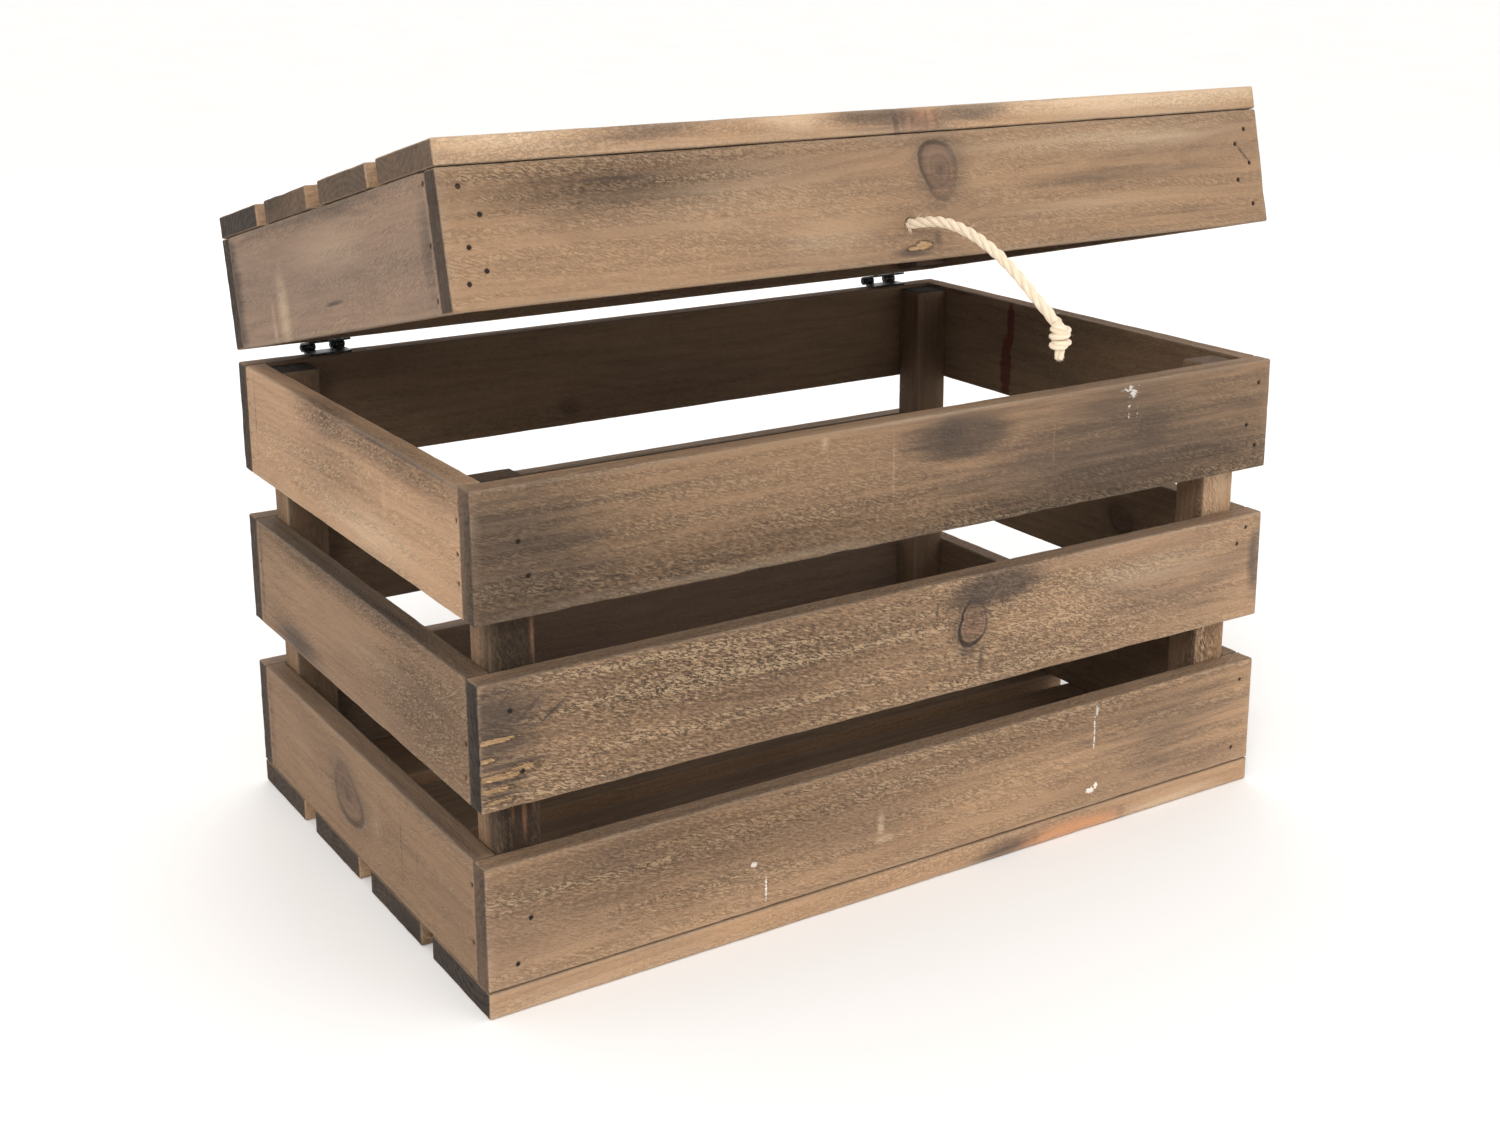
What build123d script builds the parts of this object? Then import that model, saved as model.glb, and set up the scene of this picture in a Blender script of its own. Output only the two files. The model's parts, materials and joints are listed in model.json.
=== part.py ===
from build123d import *

import os
from math import cos, radians, sin

# A slatted softwood shipping crate with a hinged, slatted lid and a rope pull.
# X runs along its length, Y from the front to the back and Z up. The origin is on the floor,
# at the middle of the box that the crate and its lid fill while the lid stands ajar.

# Crate timber
length = 500
width = 320
board_height = 64
board_thickness = 12.5
board_gap = 27
levels = ("bottom", "middle", "top")
base_slat_thickness = 14
slat_width = 68
base_slat_gaps = (14, 17, 17)
post_length_x = 24
post_depth_y = 22
post_recess = 2
edge_round = 1

# Lid timber
lid_board_height = 64
lid_slat_thickness = 13
lid_slat_gaps = (14, 19, 15)
lid_opening = 13

# Hinges: the closed lid stands one barrel's diameter above the crate's rim
barrel_radius = 2.75
barrel_setback = 3
bore_radius = 1
pin_radius = 0.95
pin_head_radius = 1.6
pin_head_height = 0.6
leaf_length = 25.4
leaf_width = 11
leaf_thickness = 1.2
leaf_clearance = 0.3
knuckle_length = 3.6
knuckle_clearance = 0.2
pin_end_play = 0.1
hinge_places = {"left": -198, "right": 206}
screw_spacing = 14
screw_radius = 0.9
screw_length = 10
screw_head_radius = 1.8
screw_head_height = 1
countersink_radius = 2
screw_hole_radius = 1.1

# Nails
nail_radius = 0.7
nail_head_radius = 1.2
nail_head_height = 1
nail_length = 28
slat_nail_spread = 24

# Nail places: distance from the board's end, then height above its lower edge
front_nails_left = {
    "bottom": ((23.5, 33), (16, 11)),
    "middle": ((16.5, 48), (22, 17)),
    "top": ((23.5, 37), (28, 20)),
}
front_nails_right = {
    "bottom": ((10, 52), (14, 9.5)),
    "middle": ((12.5, 56), (19, 47)),
    "top": ((9, 51), (17, 27), (9.5, 14)),
}
side_nails_front = {
    "bottom": ((15.5, 50), (16, 20)),
    "middle": ((15.5, 30), (17, 13)),
    "top": ((15.5, 47), (16, 31), (15.5, 17)),
}
side_nails_back = {
    "bottom": ((16, 45), (15.5, 15)),
    "middle": ((15.5, 51), (17, 39)),
    "top": ((15, 56), (16, 42), (15.5, 24), (15.5, 11)),
}
lid_nails_left = ((10.5, 55), (19, 42), (12, 28), (19, 17), (10, 12))
lid_nails_right = ((11, 53), (19, 45), (9.5, 34), (19.5, 25), (10, 11))
lid_side_nails_front = ((15.5, 58.5), (15.5, 31), (15.5, 6.5))
lid_side_nails_back = ((16, 50), (15.5, 30.5), (15.5, 6.5))

# Rope pull
rope_radius = 2.5
rope_hole_radius = 3.2
rope_hole_height = 19
inner_knot_radius = 5.5
inner_knot_length = 9
inner_knot_clearance = 0.3
end_knot_radius = 5.2
end_knot_length = 14
end_knot_round = 4.6
tail_length = 7
tail_round = 1.2
knot_overlap = 2.5

# Worked out from the driving dimensions
body_height = base_slat_thickness + 3 * board_height + 2 * board_gap
hinge_gap = 2 * barrel_radius
hinge_z = body_height + barrel_radius
lid_floor = body_height + hinge_gap
lid_ceiling = lid_floor + lid_board_height
lid_top = lid_ceiling + lid_slat_thickness
tilt = radians(lid_opening)
lid_back_reach = (
    width + barrel_setback - barrel_setback * cos(tilt) + (lid_top - hinge_z) * sin(tilt)
)
left_x = -length / 2
right_x = length / 2
front_y = -lid_back_reach / 2
back_y = front_y + width
hinge_y = back_y + barrel_setback
hinge_axis = Axis((0, hinge_y, hinge_z), (1, 0, 0))


def board(x_span, y_span, z_span):
    """A piece of timber with softened edges that fills three low-high spans."""
    spans = (x_span, y_span, z_span)
    size = [high - low for low, high in spans]
    middle = [(low + high) / 2 for low, high in spans]
    timber = fillet(Box(*size).edges(), edge_round)
    return Pos(*middle) * timber


def group(solids):
    """Separate solids that share one node."""
    return Compound(children=list(solids))


def tilted(shape):
    """A lid piece, made with the lid level, turned about the hinge to where it stands ajar."""
    return shape.rotate(hinge_axis, -lid_opening)


def board_floor(level):
    """The height of a side board's lower edge."""
    return base_slat_thickness + levels.index(level) * (board_height + board_gap)


def side_walls(low, high, name):
    """Four boards round the crate: front and back at full length, the ends between them."""
    inner_y = (front_y + board_thickness, back_y - board_thickness)
    across = (left_x, right_x)
    return {
        f"front_{name}": board(across, (front_y, inner_y[0]), (low, high)),
        f"back_{name}": board(across, (inner_y[1], back_y), (low, high)),
        f"left_{name}": board((left_x, left_x + board_thickness), inner_y, (low, high)),
        f"right_{name}": board((right_x - board_thickness, right_x), inner_y, (low, high)),
    }


def corner_pieces(low, high, name):
    """Four upright pieces in the inside corners, which the boards are nailed to."""
    x_spans = {
        "left": (left_x + board_thickness, left_x + board_thickness + post_length_x),
        "right": (right_x - board_thickness - post_length_x, right_x - board_thickness),
    }
    y_spans = {
        "front": (front_y + board_thickness, front_y + board_thickness + post_depth_y),
        "back": (back_y - board_thickness - post_depth_y, back_y - board_thickness),
    }
    return {
        f"{face}_{side}_{name}": board(x_spans[side], y_spans[face], (low, high))
        for face in y_spans
        for side in x_spans
    }


def slat_floors(gaps):
    """The front edge of each of four slats, from the gaps between them."""
    edges = [front_y]
    for gap in gaps:
        edges.append(edges[-1] + slat_width + gap)
    return edges


def slats(low, high, gaps, name):
    """Four boards that run the whole length, side by side from front to back."""
    places = ("front", "front_inner", "back_inner", "back")
    return {
        f"{place}_{name}": board((left_x, right_x), (edge, edge + slat_width), (low, high))
        for place, edge in zip(places, slat_floors(gaps))
    }


def nail(place, direction):
    """A wire nail with the top of its head at a place, driven in a direction."""
    standing = (Align.CENTER, Align.CENTER, Align.MIN)
    head = Cylinder(nail_head_radius, nail_head_height, align=standing)
    shank = Cylinder(nail_radius, nail_length, align=standing)
    return Plane(origin=place, z_dir=direction).location * (head + shank)


def long_face_nails(y, inward, low, left_places, right_places):
    """Nails through a front or back board near both its ends."""
    places = [(left_x + inset, low + height) for inset, height in left_places]
    places += [(right_x - inset, low + height) for inset, height in right_places]
    return [nail((x, y, z), (0, inward, 0)) for x, z in places]


def end_face_nails(x, inward, low, front_places, back_places):
    """Nails through an end board near its front and its back."""
    places = [(front_y + inset, low + height) for inset, height in front_places]
    places += [(back_y - inset, low + height) for inset, height in back_places]
    return [nail((x, y, z), (inward, 0, 0)) for y, z in places]


def slat_nails(z, direction, gaps):
    """Two nails in each end of four slats, into the end boards under or over them."""
    ends = (left_x + board_thickness / 2, right_x - board_thickness / 2)
    middles = [edge + slat_width / 2 for edge in slat_floors(gaps)]
    return [
        nail((x, y + side * slat_nail_spread, z), (0, 0, direction))
        for x in ends
        for y in middles
        for side in (-1, 1)
    ]


def crate_nails():
    """The nails of the crate, one group for each face."""
    faces = {"front_nails": [], "back_nails": [], "left_nails": [], "right_nails": []}
    for level in levels:
        low = board_floor(level)
        lefts, rights = front_nails_left[level], front_nails_right[level]
        fronts, backs = side_nails_front[level], side_nails_back[level]
        faces["front_nails"] += long_face_nails(front_y, 1, low, lefts, rights)
        faces["back_nails"] += long_face_nails(back_y, -1, low, rights, lefts)
        faces["left_nails"] += end_face_nails(left_x, 1, low, fronts, backs)
        faces["right_nails"] += end_face_nails(right_x, -1, low, fronts, backs)
    faces["base_nails"] = slat_nails(0, 1, base_slat_gaps)
    return {name: group(nails) for name, nails in faces.items()}


def lid_nails():
    """The nails of the level lid, one group for each face."""
    lefts, rights = lid_nails_left, lid_nails_right
    fronts, backs = lid_side_nails_front, lid_side_nails_back
    faces = {
        "lid_front_nails": long_face_nails(front_y, 1, lid_floor, lefts, rights),
        "lid_back_nails": long_face_nails(back_y, -1, lid_floor, rights, lefts),
        "lid_left_nails": end_face_nails(left_x, 1, lid_floor, fronts, backs),
        "lid_right_nails": end_face_nails(right_x, -1, lid_floor, fronts, backs),
        "lid_top_nails": slat_nails(lid_top, -1, lid_slat_gaps),
    }
    return {name: group(nails) for name, nails in faces.items()}


def bar_along_x(radius, start, end, y, z):
    """A round bar between two places along X."""
    middle = (start + end) / 2
    return Pos(middle, y, z) * Rot(0, 90, 0) * Cylinder(radius, end - start)


def knuckle_starts(middle, ring):
    """Where a leaf's two knuckles start: ring 0 is the outer pair and ring 1 the inner."""
    inset = ring * (knuckle_length + knuckle_clearance)
    low_end = middle - leaf_length / 2 + inset
    high_end = middle + leaf_length / 2 - inset - knuckle_length
    return (low_end, high_end)


def leaf_screw_places(middle):
    """The X positions of a leaf's two screws, and their shared Y."""
    y = back_y - leaf_width / 2
    return [(middle + side * screw_spacing / 2, y) for side in (-1, 1)]


def hinge_leaf(middle, plate_low, ring, face_up):
    """A hinge leaf on a board's edge, with its two rolled knuckles round the hinge axis."""
    plate_high = plate_low + leaf_thickness
    plate_z = (plate_low + plate_high) / 2
    plate_back = back_y - leaf_clearance
    plate_y = (back_y - leaf_width + plate_back) / 2
    plate_depth = plate_back - back_y + leaf_width
    leaf = Pos(middle, plate_y, plate_z) * Box(leaf_length, plate_depth, leaf_thickness)
    tongue_depth = hinge_y - plate_back
    for start in knuckle_starts(middle, ring):
        end = start + knuckle_length
        tongue_place = Pos((start + end) / 2, plate_back + tongue_depth / 2, plate_z)
        leaf += tongue_place * Box(knuckle_length, tongue_depth, leaf_thickness)
        leaf += bar_along_x(barrel_radius, start, end, hinge_y, hinge_z)
        leaf -= bar_along_x(bore_radius, start, end, hinge_y, hinge_z)
    seen_face = plate_high if face_up else plate_low
    for x, y in leaf_screw_places(middle):
        leaf -= screw_hole((x, y, seen_face), -1 if face_up else 1)
    return leaf


def screw_hole(place, direction):
    """A countersunk hole, cut from a leaf's seen face."""
    standing = (Align.CENTER, Align.CENTER, Align.MIN)
    hole = Cylinder(screw_hole_radius, leaf_thickness, align=standing)
    sink = Cone(countersink_radius, screw_hole_radius, screw_head_height, align=standing)
    return Plane(origin=place, z_dir=(0, 0, direction)).location * (hole + sink)


def screw(place, direction):
    """A countersunk screw with its head flush at a place, driven in a direction."""
    standing = (Align.CENTER, Align.CENTER, Align.MIN)
    head = Cone(screw_head_radius, screw_radius, screw_head_height, align=standing)
    shank = Cylinder(screw_radius, screw_length, align=standing)
    return Plane(origin=place, z_dir=(0, 0, direction)).location * (head + shank)


def hinge_pin(start, end):
    """A short pin through one pair of knuckles, headed over at both ends."""
    low, high = start - pin_end_play, end + pin_end_play
    shaft = bar_along_x(pin_radius, low, high, hinge_y, hinge_z)
    for head_low in (low - pin_head_height, high):
        head_high = head_low + pin_head_height
        shaft += bar_along_x(pin_head_radius, head_low, head_high, hinge_y, hinge_z)
    return shaft


def hinge_pins(middle):
    """The two pins of one hinge: each goes through an outer and an inner knuckle."""
    outer_low, outer_high = knuckle_starts(middle, 0)
    inner_low, inner_high = knuckle_starts(middle, 1)
    low_pin = hinge_pin(outer_low, inner_low + knuckle_length)
    high_pin = hinge_pin(inner_high, outer_high + knuckle_length)
    return group([low_pin, high_pin])


def lower_hinge_half(side, middle):
    """The leaf on the crate's rim and its screws."""
    screw_top = body_height + leaf_thickness
    screws = [screw((x, y, screw_top), -1) for x, y in leaf_screw_places(middle)]
    return {
        f"{side}_hinge_lower_leaf": hinge_leaf(middle, body_height, 1, True),
        f"{side}_hinge_lower_screws": group(screws),
    }


def upper_hinge_half(side, middle):
    """The leaf under the level lid's edge, its screws and the pins that turn with it."""
    screw_top = lid_floor - leaf_thickness
    screws = [screw((x, y, screw_top), 1) for x, y in leaf_screw_places(middle)]
    return {
        f"{side}_hinge_upper_leaf": hinge_leaf(middle, screw_top, 0, False),
        f"{side}_hinge_upper_screws": group(screws),
        f"{side}_hinge_pins": hinge_pins(middle),
    }


def rope_hole():
    """The hole through the level lid's front board."""
    place = (0, front_y, lid_floor + rope_hole_height)
    direction = Plane(origin=place, z_dir=(0, 1, 0)).location
    standing = (Align.CENTER, Align.CENTER, Align.MIN)
    return direction * Cylinder(rope_hole_radius, board_thickness, align=standing)


def lid_point(y, z):
    """A point in the middle of the level lid, where it is with the lid ajar."""
    from_axis_y = y - hinge_y
    from_axis_z = z - hinge_z
    return Vector(
        0,
        hinge_y + from_axis_y * cos(tilt) + from_axis_z * sin(tilt),
        hinge_z - from_axis_y * sin(tilt) + from_axis_z * cos(tilt),
    )


def rope_route():
    """The rope's line: out of the inner knot and the hole, then forward and down."""
    hole_z = lid_floor + rope_hole_height
    first = lid_point(front_y + board_thickness + inner_knot_clearance + knot_overlap, hole_z)
    second = lid_point(front_y - 8.4, hole_z)
    # The rest hangs in front of the crate: distance in front of its face, then height.
    hanging = ((13.5, 361), (32.5, 358.5), (51, 352.5), (68, 344), (84, 333.5), (98.5, 324.5))
    return [first, second] + [Vector(0, front_y - out, z) for out, z in hanging]


def rope_bend_radii(route):
    """At each corner, 0.45 of the shorter run divided by the tangent of half the turn."""
    radii = []
    for before, corner, after in zip(route, route[1:], route[2:]):
        run_in, run_out = corner - before, after - corner
        turn = radians(run_in.get_angle(run_out))
        shorter = min(run_in.length, run_out.length)
        radii.append(0.45 * shorter * (1 + cos(turn)) / sin(turn))
    return radii


def pull_rope():
    """The rope from the inner knot to the end knot."""
    route = rope_route()
    radii = rope_bend_radii(route)
    path = FilletPolyline(*route, radius=radii)
    section = Plane(origin=path @ 0, z_dir=path % 0) * Circle(rope_radius)
    rope = sweep(section, path)
    print("rope bend radii", [round(radius, 1) for radius in radii])
    print("rope length", round(path.length, 1))
    print("rope volume", round(rope.volume), "of", round(section.area * path.length))
    return rope


def inner_knot():
    """The knot that keeps the rope from pulling out through the front board."""
    start = front_y + board_thickness + inner_knot_clearance
    middle = lid_point(start + inner_knot_length / 2, lid_floor + rope_hole_height)
    knot = Cylinder(inner_knot_radius, inner_knot_length)
    knot = fillet(knot.edges(), inner_knot_length * 0.45)
    toward_back = Plane(origin=middle, z_dir=(0, cos(tilt), -sin(tilt)))
    return toward_back.location * knot


def end_knot():
    """The knot at the rope's free end, with the cut tail under it."""
    rope_end = rope_route()[-1]
    knot = fillet(Cylinder(end_knot_radius, end_knot_length).edges(), end_knot_round)
    tail = Cylinder(rope_radius, tail_length)
    tail = fillet(tail.edges().group_by(Axis.Z)[0], tail_round)
    tail = Pos(0, 0, -end_knot_length / 2 - tail_length / 2 + knot_overlap) * tail
    drop = Pos(0, rope_end.Y - end_knot_radius + knot_overlap, rope_end.Z - end_knot_radius)
    return drop * (knot + tail)


def crate_parts():
    """Every piece that stands still."""
    parts = {}
    for level in levels:
        low = board_floor(level)
        parts.update(side_walls(low, low + board_height, f"{level}_board"))
    parts.update(corner_pieces(base_slat_thickness, body_height - post_recess, "post"))
    parts.update(slats(0, base_slat_thickness, base_slat_gaps, "base_slat"))
    parts.update(crate_nails())
    for side, middle in hinge_places.items():
        parts.update(lower_hinge_half(side, middle))
    return parts


def lid_parts():
    """Every piece that turns with the lid, except the rope, made with the lid level."""
    parts = {}
    walls = side_walls(lid_floor, lid_ceiling, "board")
    walls["front_board"] -= rope_hole()
    parts.update({f"lid_{name}": wall for name, wall in walls.items()})
    blocks = corner_pieces(lid_floor + post_recess, lid_ceiling, "block")
    parts.update({f"lid_{name}": block for name, block in blocks.items()})
    covers = slats(lid_ceiling, lid_top, lid_slat_gaps, "slat")
    parts.update({f"lid_{name}": cover for name, cover in covers.items()})
    parts.update(lid_nails())
    for side, middle in hinge_places.items():
        parts.update(upper_hinge_half(side, middle))
    return parts


def rope_parts():
    """The rope pull, made where it lies with the lid ajar."""
    return {
        "pull_rope": pull_rope(),
        "rope_inner_knot": inner_knot(),
        "rope_end_knot": end_knot(),
    }


def main():
    """Builds every piece and writes one STEP file for each."""
    parts = crate_parts()
    parts.update({name: tilted(shape) for name, shape in lid_parts().items()})
    parts.update(rope_parts())
    os.makedirs("parts", exist_ok=True)
    for name, shape in parts.items():
        export_step(shape, f"parts/{name}.step")
    print("hinge axis at y", round(hinge_y, 3), "z", round(hinge_z, 3))
    print("nodes", len(parts))
    return parts


if __name__ == "__main__":
    main()
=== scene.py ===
import json
from math import cos, pi, radians, sin

import bmesh
import bpy
import numpy as np
from mathutils import Matrix, Vector


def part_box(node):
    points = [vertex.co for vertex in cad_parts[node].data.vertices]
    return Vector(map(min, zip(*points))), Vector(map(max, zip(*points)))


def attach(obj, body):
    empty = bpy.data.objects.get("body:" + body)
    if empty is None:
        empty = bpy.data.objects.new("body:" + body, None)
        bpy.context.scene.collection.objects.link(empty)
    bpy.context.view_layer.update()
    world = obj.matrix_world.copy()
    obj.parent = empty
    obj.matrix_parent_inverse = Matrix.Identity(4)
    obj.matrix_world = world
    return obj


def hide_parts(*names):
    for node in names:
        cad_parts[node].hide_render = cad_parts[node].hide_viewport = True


# The looks of a slatted softwood crate with a hinged lid and a rope pull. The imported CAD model
# gives every place and size. Lengths are in metres unless a name ends in _mm.

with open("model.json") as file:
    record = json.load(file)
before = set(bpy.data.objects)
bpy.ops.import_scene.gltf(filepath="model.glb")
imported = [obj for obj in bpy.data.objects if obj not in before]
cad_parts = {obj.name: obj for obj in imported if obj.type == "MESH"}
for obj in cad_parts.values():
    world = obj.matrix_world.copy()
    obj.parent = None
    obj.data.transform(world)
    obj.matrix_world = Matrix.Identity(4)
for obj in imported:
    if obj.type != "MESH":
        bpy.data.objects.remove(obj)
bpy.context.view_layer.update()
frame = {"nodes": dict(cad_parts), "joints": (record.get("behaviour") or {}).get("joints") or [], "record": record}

mm = 0.001
saw_slant = radians(18)
hinge = Vector(frame["joints"][0]["pos_m"])
lid_opening = radians(13)

# Turns a lid piece from level, as on the closed crate, to where it stands ajar
tilt = Matrix.Translation(hinge) @ Matrix.Rotation(-lid_opening, 4, "X") @ Matrix.Translation(-hinge)
poses = {"crate": Matrix.Identity(4), "lid": tilt}

# Rope pull: the same points as the CAD route, on the crate's middle plane
rope_exit = (0, -0.15584, 0.3566)
rope_points = (
    (0, -0.14093, 0.35316),
    (0, -0.16402, 0.35849),
    (0, -0.182508, 0.361),
    (0, -0.201508, 0.3585),
    (0, -0.220008, 0.3525),
    (0, -0.237008, 0.344),
    (0, -0.253008, 0.3335),
    (0, -0.267508, 0.3245),
)
strand_count = 3
strand_lay = 0.025
strand_radius = 0.00155
strand_offset = 0.0012
strand_spacing = 0.0008
strand_swell = 0.06
swells_per_m = 160
knot_thickness = 0.86
coil_radius = 0.0027
coil_drops_mm = (1.6, 7.2, 13.4)
rope_hole_radius = 0.0032
hole_margin = 1.08

floor_half = 30
floor_steps = 40

# Timber meshes: how far apart their lines are, along a board, up it and through it, and where the
# lines lie in a rounded edge, across a round feature and across the rope's hole
edge_radius = 1.3 * mm
edge_margin = 1.5 * edge_radius
mesh_spacings = (4.5 * mm, 2.4 * mm, 2.2 * mm)
least_spacing = 0.28 * mm
crowding = 0.35
edge_shares = (0, 0.423, 0.732, 1)
round_shares = (-1.3, -0.95, -0.5, 0, 0.5, 0.95, 1.3)
hole_shares = (-1.5, -1.25, -0.97, -0.8, -0.5, -0.2, 0.2, 0.5, 0.8, 0.97, 1.25, 1.5)
thin_timber = 25 * mm

# Wear and marks: depths below the planed surface, reaches from an edge or a face, bumps a metre
planed_depth = 0.1 * mm
rough_depth = 0.13 * mm
edge_wear = 0.12 * mm
chip_depth = 0.9 * mm
edge_reach = 1.6 * mm
pale_edge_reach = 1.5 * mm
knot_groove = 0.35 * mm
groove_width = 0.12
splinter_depth = 1.2 * mm
mark_depth = 9 * mm
waves_per_m = (45, 170, 170)
chips_per_m = 60
splinters_per_m = (60, 900, 900)
finest_mark_mm = 5

# Nails and the dents they sit in
nail_head_radius = 1.2 * mm
nail_sink = 0.75 * mm
nail_dent = 0.95 * mm
nail_hole_radius = 1.5 * mm
nail_sides = 14
nail_lean = 0.08
nail_shank = 0.7 * mm
nail_taper = 3 * mm
nail_point = 0.05 * mm

# What counts as touching, as one place, as facing one way and, in knot radii, as far from a knot
touching = 0.1 * mm
same_place = 0.01 * mm
squarely = 0.9
far_away = 9

# Growth rings: least and most spacing and distance from the tree's heart, waviness, and how far
# they bend round a knot
ring_spacing_mm = (2.6, 4.6)
heart_gap_mm = (12, 55)
ring_sway_mm = 5
sways_per_m = (9, 0, 0)
ring_ripple_mm = 1.2
ripples_per_m = (28, 40, 40)
knot_bend = 0.85

# Knots, one to a board, in millimetres: distance along the board, height on it, half length, half
# height, how dark the knot is, how dark its rim is, and the side where the rim is darkest, in
# degrees from the board's length
knots_mm = {
    "front_middle_board": (286, 37, 9.5, 11.5, 0.6, 1.3, 215),
    "front_top_board": (269, 53, 7, 6, 0.7, 0.25, 180),
    "left_bottom_board": (165, 31, 19.5, 14, 0.55, 0.65, 250),
    "back_middle_board": (330, 28, 12, 9, 0.7, 0.8, 20),
    "back_top_board": (206, 12, 6, 5, 0.6, 0.2, 90),
    "right_middle_board": (92, 34, 10, 9, 0.7, 0.6, 300),
    "lid_front_board": (272, 45, 11.5, 13.5, 0.55, 0.75, 140),
    "lid_back_board": (140, 30, 9, 10, 0.6, 0.4, 200),
    "lid_front_slat": (262, -2, 17, 9, 0.7, 0.6, 200),
    "lid_front_inner_slat": (352, 36, 13, 9, 0.7, 0.7, 160),
    "lid_back_slat": (96, 30, 9, 11, 0.8, 0.3, 30),
    "back_inner_base_slat": (180, 40, 10, 9, 0.7, 0.6, 120),
}

# Marks on each board's outer face (the red ones on its inner face), in millimetres: distance along
# the board, height on it, half length, half height, strength and, for a crack that climbs across
# the grain, its slant in degrees
marks_mm = {}
marks_mm["front_top_board"] = {
    "rough": ((40, 20, 90, 34, 0.5), (100, 4, 170, 20, 1.1), (300, 2, 200, 12, 1.1)),
    "dark": (
        (120, 10, 34, 3, 0.5), (172, 16, 36, 3.5, 0.55), (222, 23, 36, 4, 0.5), (265, 32, 30, 5, 0.45),
        (25, 34, 70, 50, 0.7), (390, 34, 130, 60, 0.78), (408, 34, 30, 26, 0.95), (330, 56, 90, 7, 0.5),
        (278, 50, 38, 13, 1.3), (428, 44, 13, 20, 0.55),
    ),
    "pale": (
        (150, 3, 130, 4, 0.6), (250, 66, 300, 4, 0.5), (190, 58, 3, 5, 0.8), (232, 34, 0.9, 30, 0.5),
        (338, 40, 0.9, 22, 0.4),
    ),
    "paint": (
        (392, 60, 9, 2.4, 0.55), (394, 58, 4.5, 3.5, 0.62), (391, 50, 1.2, 9, 0.5), (397, 46, 1, 7, 0.45),
    ),
}
marks_mm["front_middle_board"] = {
    "rough": ((130, 44, 170, 30, 1.25), (120, 10, 160, 24, 1), (290, 10, 110, 24, 0.6)),
    "dark": (
        (300, 55, 32, 10, 1.3), (274, 36, 5, 14, 0.6), (282, 22, 8, 5, 0.7), (262, 50, 0.8, 12, 0.7),
        (292, 16, 2.5, 7, 0.8), (500, 34, 9, 22, 1.4), (4, 44, 34, 28, 0.8), (12, 31, 17, 1.2, 1.2),
        (14, 22, 20, 1.4, 1.2), (12, 14, 18, 1.2, 1.2), (9, 8, 16, 1.2, 1.1), (9, 40, 13, 1, 1.4, 28),
        (10, 45, 14, 0.9, 1.4, 40), (11, 51, 13, 0.9, 1.3, 52), (24, 46, 13, 0.9, 1.2, 40),
        (37, 43, 11, 0.9, 1, 36), (440, 34, 90, 40, 0.4),
    ),
    "pale": ((230, 46, 1.2, 20, 0.5), (410, 44, 80, 12, 0.35)),
    "fresh": (
        (7, 35, 14, 1.4, 0.8), (3, 26, 7, 1.5, 0.8), (9, 17, 16, 2, 0.85), (23, 19, 7, 2.4, 0.75),
        (6, 11, 12, 1.5, 0.75), (8, 5, 12, 1.4, 0.7),
    ),
}
marks_mm["front_bottom_board"] = {
    "rough": ((110, 48, 150, 26, 0.9), (300, 56, 150, 14, 0.6)),
    "dark": ((430, 36, 90, 34, 0.6), (480, 60, 40, 6, 0.4), (70, 56, 60, 12, 0.35)),
    "pale": ((227, 27, 2.5, 8, 0.65), (230, 19, 7, 3, 0.6)),
    "paint": (
        (148, 26, 2.2, 1.6, 1.1), (374, 10, 3, 1.7, 1.1), (378, 12, 1.4, 1.8, 1.1), (155, 11, 0.8, 10, 0.75),
        (377, 58, 1.2, 4, 0.9), (375.5, 46, 0.8, 12, 0.75),
    ),
}
marks_mm["front_base_slat"] = {
    "dark": ((312, 0, 24, 7, 1.1), (334, 0, 4, 7, 0.9), (398, 0, 4, 7, 0.8)),
    "pale": ((60, 0, 160, 10, 0.4), (440, 0, 50, 10, 0.7)),
    "orange": ((362, 0, 34, 10, 1.15),),
}
marks_mm["right_top_board"] = {
    "rough": ((120, 50, 110, 20, 0.7),),
    "dark": ((200, 44, 60, 8, 0.5), (60, 10, 30, 8, 0.5)),
    "red": ((204, 50, 3.6, 18, 1), (208, 16, 5.5, 24, 1), (262, 62, 30, 5, 0.5)),
}
marks_mm["left_bottom_board"] = {
    "dark": (
        (168, 36, 27, 20, 0.35), (80, 66, 120, 5, 0.6), (90, 34, 0.8, 30, 0.7), (70, 30, 0.8, 24, 0.5),
        (288, 32, 5, 40, 0.6),
    ),
    "pale": ((125, 30, 12, 24, 0.35), (240, 34, 40, 20, 0.3)),
}
marks_mm["left_middle_board"] = {
    "rough": ((40, 30, 60, 30, 0.6), (150, 60, 140, 5, 0.8)),
    # The long dark mark along the upper edge is painted shade on the top face, on top of the upper-edge shade in
    # tones
    "dark": ((235, 6, 46, 12, 0.8), (150, 66, 180, 5, 0.8), (288, 32, 4, 40, 0.6)),
    "pale": ((120, 36, 80, 9, 0.3),),
}
marks_mm["left_top_board"] = {
    "rough": ((168, 60, 34, 9, 1.2), (70, 58, 90, 8, 0.9), (160, 34, 60, 20, 0.25)),
    "dark": (
        (176, 52, 26, 8, 0.3), (70, 62.5, 90, 1.4, 1.1), (180, 66, 60, 4, 0.6), (281, 34, 0.9, 40, 0.7),
    ),
    "pale": ((110, 14, 90, 14, 0.5), (90, 34, 4, 26, 0.35)),
    "orange": ((172, 63, 22, 3, 0.35),),
}
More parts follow.
